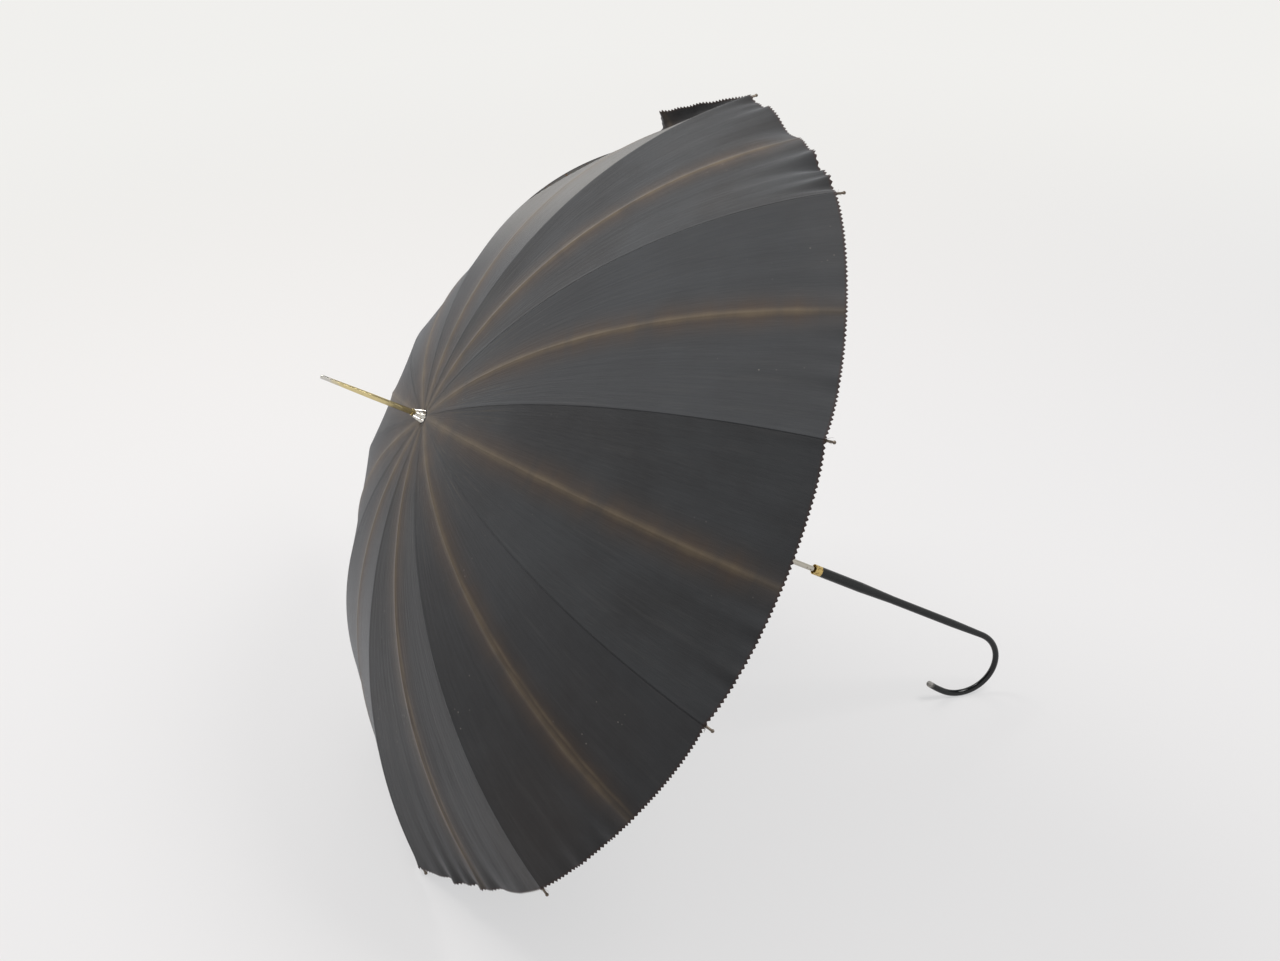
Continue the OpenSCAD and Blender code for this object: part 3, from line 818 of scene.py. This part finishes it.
def makeRunnerWire(shape):
    # ring through the feet of the stretchers: a small circle carried round a large one; the feet lie
    # as far below the rivets as the ribs' pivots lie above them
    count = canopy["ribCount"]
    rivets = np.array([joints[f"stretcher_{k}_fold"]["pos_m"] for k in range(1, count + 1)])
    drop = 2 * float(np.dot(pivots.mean(axis=0) - rivets.mean(axis=0), shaftUp))
    middle = pivots.mean(axis=0) - shaftUp * drop
    outward, sideways = ribAxes(1)
    angle = np.linspace(0, 2 * np.pi, shape["steps"], endpoint=False)
    away = np.multiply.outer(np.cos(angle), outward) + np.multiply.outer(np.sin(angle), sideways)
    section = np.linspace(0, 2 * np.pi, shape["sides"], endpoint=False)
    circle = (np.cos(section)[None, :, None] * away[:, None, :]
              + np.sin(section)[None, :, None] * shaftUp[None, None, :])
    points = middle + shape["ring"] * away[:, None, :] + shape["radius"] * circle
    faces = gridQuads(shape["steps"], shape["sides"], closedRows=True, closedColumns=True)
    meshObject("runnerWire", points.reshape(-1, 3), faces, "runner", finishes["notch_wire"])


makeRunnerWire(wireShape)
print("runner wire made")


# floor, backdrop and light
studio = {
    "wall": (0.875, 0.868, 0.848, 1.0),
    "floor": (0.835, 0.842, 0.850, 1.0),        # as shown to the camera
    "plain": (0.778, 0.748, 0.736, 1.0),        # as it takes light and shadow
    "floorRoughness": 0.9,
    "floorSpecular": 0.1,
    "turnsToWall": (0.25, 1.6),                 # depth at which floor becomes wall
    "showNear": 0.62,                           # share of the shown floor beside the umbrella
    "showReach": (0.9, 2.2),
    "rings": (0.0005, 0.5, 1.0, 2.0, 4.0, 9.0),
    "steps": 96,
    "worldLight": 0.46,
    "worldColor": (0.98, 0.98, 1.0, 1.0),
    "overhead": (0.10, 0.105, 0.115, 1.0),
    "overheadFrom": (0.32, 0.72),
}


def seenDirectly(tree):
    # 1 for the camera and for what shines or shows through, 0 for the light that the floor sends back
    path = put(tree, "ShaderNodeLightPath").outputs
    return calc(tree, "MAXIMUM", path["Is Camera Ray"],
                calc(tree, "MAXIMUM", path["Is Glossy Ray"], path["Is Transmission Ray"]))


def makeFloor(look):
    # rings of points (r cos a, r sin a, 0)
    angle = np.linspace(0, 2 * np.pi, look["steps"], endpoint=False)
    radius = np.array(look["rings"])
    points = np.stack([np.multiply.outer(radius, np.cos(angle)), np.multiply.outer(radius, np.sin(angle)),
                       np.zeros((len(radius), len(angle)))], axis=-1).reshape(-1, 3)
    material, tree, shader = startMaterial("paleFloor")
    shader.inputs["Base Color"].default_value = look["plain"]
    shader.inputs["Roughness"].default_value = look["floorRoughness"]
    shader.inputs["Specular IOR Level"].default_value = look["floorSpecular"]
    place = objectPlace(tree)
    depth = put(tree, "ShaderNodeSeparateXYZ", {0: place}).outputs[1]
    tint = blendColor(tree, between(tree, depth, *look["turnsToWall"]), look["floor"], look["wall"])
    glow = put(tree, "ShaderNodeEmission", {"Color": tint, "Strength": 1.0})
    away = put(tree, "ShaderNodeVectorMath", {0: place}, operation="LENGTH").outputs["Value"]
    share = times(tree, seenDirectly(tree), between(tree, away, *look["showReach"], look["showNear"], 1.0))
    mix = put(tree, "ShaderNodeMixShader", {0: share, 1: shader.outputs[0], 2: glow.outputs[0]})
    tree.links.new(mix.outputs[0], tree.nodes["Material Output"].inputs["Surface"])
    mesh = bpy.data.meshes.new("studioFloor")
    mesh.from_pydata(points.tolist(), [], gridQuads(len(radius), len(angle), closedColumns=True).tolist())
    mesh.update()
    mesh.materials.append(material)
    floor = bpy.data.objects.new("studioFloor", mesh)
    bpy.context.scene.collection.objects.link(floor)


def makeWorld(look):
    # even light from all round, while the camera and bright metal are shown the wall
    world = bpy.data.worlds.new("studioWorld")
    bpy.context.scene.world = world
    world.use_nodes = True
    tree = world.node_tree
    light = tree.nodes["Background"]
    light.inputs["Color"].default_value = look["worldColor"]
    light.inputs["Strength"].default_value = look["worldLight"]
    # the wall darkens overhead, so that bright metal has something dark to show
    around = put(tree, "ShaderNodeTexCoord").outputs["Generated"]
    upward = put(tree, "ShaderNodeSeparateXYZ", {0: around}).outputs[2]
    wall = blendColor(tree, between(tree, upward, *look["overheadFrom"]), look["wall"], look["overhead"])
    shown = put(tree, "ShaderNodeBackground", {"Color": wall, "Strength": 1.0})
    mix = put(tree, "ShaderNodeMixShader", {0: seenDirectly(tree), 1: light.outputs[0], 2: shown.outputs[0]})
    tree.links.new(mix.outputs[0], tree.nodes["World Output"].inputs["Surface"])


lamps = {
    "keyLamp": {"place": (0.9, -0.5, 2.2), "aim": (0.05, 0.0, 0.2), "size": 1.0, "power": 22.0,
                "color": (1.0, 0.995, 0.98)},
    "topLamp": {"place": (-1.0, 0.9, 2.1), "aim": (0.0, 0.0, 0.3), "size": 1.2, "power": 28.0,
                "color": (1.0, 0.985, 0.965)},
    "backLamp": {"place": (0.5, 1.9, 1.9), "aim": (0.0, 0.0, 0.3), "size": 1.4, "power": 8.0,
                 "color": (1.0, 0.985, 0.96)},
    "sideLamp": {"place": (-2.3, 0.5, 0.9), "aim": (0.0, 0.0, 0.25), "size": 1.2, "power": 1.0,
                 "color": (1.0, 0.98, 0.94)},
}


def makeLamp(name, spec):
    # a round lamp that faces the point it aims at
    data = bpy.data.lights.new(name, "AREA")
    data.shape = "DISK"
    data.size = spec["size"]
    data.energy = spec["power"]
    data.color = spec["color"]
    lamp = bpy.data.objects.new(name, data)
    lamp.location = spec["place"]
    lamp.rotation_mode = "QUATERNION"
    aim = Vector(spec["aim"]) - Vector(spec["place"])
    lamp.rotation_quaternion = aim.to_track_quat("-Z", "Y")
    bpy.context.scene.collection.objects.link(lamp)


makeFloor(studio)
makeWorld(studio)
for name, spec in lamps.items():
    makeLamp(name, spec)
bpy.context.scene.view_settings.view_transform = "Standard"
print("studio set")
